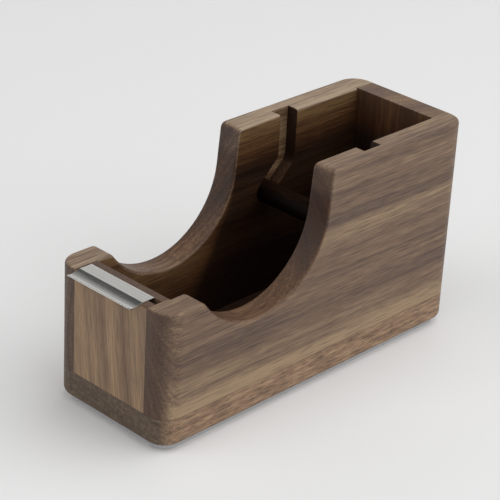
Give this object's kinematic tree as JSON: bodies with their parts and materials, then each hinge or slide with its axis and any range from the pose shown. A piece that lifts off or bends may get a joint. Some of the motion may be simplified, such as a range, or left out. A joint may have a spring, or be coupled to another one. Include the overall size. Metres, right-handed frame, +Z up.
{
  "type": "tape dispenser",
  "caption": "Walnut desk tape dispenser: a box open at the top, scooped low towards a serrated steel cutter, with a loose spindle in two routed slots.",
  "frame": {"origin": "on the desk, under the middle of the wooden body", "axes": "+Z up, +Y from the cutter end towards the back, +X to the right of somebody facing the back"},
  "size_m": [0.05, 0.1384, 0.075],
  "materials": {
    "walnut_side": "satin oiled",
    "walnut_base": "satin oiled",
    "walnut_front": "satin oiled",
    "walnut_rear": "satin oiled",
    "walnut_spindle": "satin oiled",
    "stainless_steel": "brushed",
    "pad_rubber": "matte"
  },
  "bodies": {
    "body": {"base_board": "walnut_base", "left_side": "walnut_side", "right_side": "walnut_side", "front_block": "walnut_front", "rear_board": "walnut_rear", "cutter_blade": "stainless_steel", "non_slip_pad": "pad_rubber"},
    "spindle": {"tape_spindle": "walnut_spindle"}
  },
  "joints": [
    {"name": "spindle_lift", "type": "slide", "parent": "body", "child": "spindle", "axis": [0, 0.7071, 0.7071], "range_m": [0, 0.013]}
  ]
}
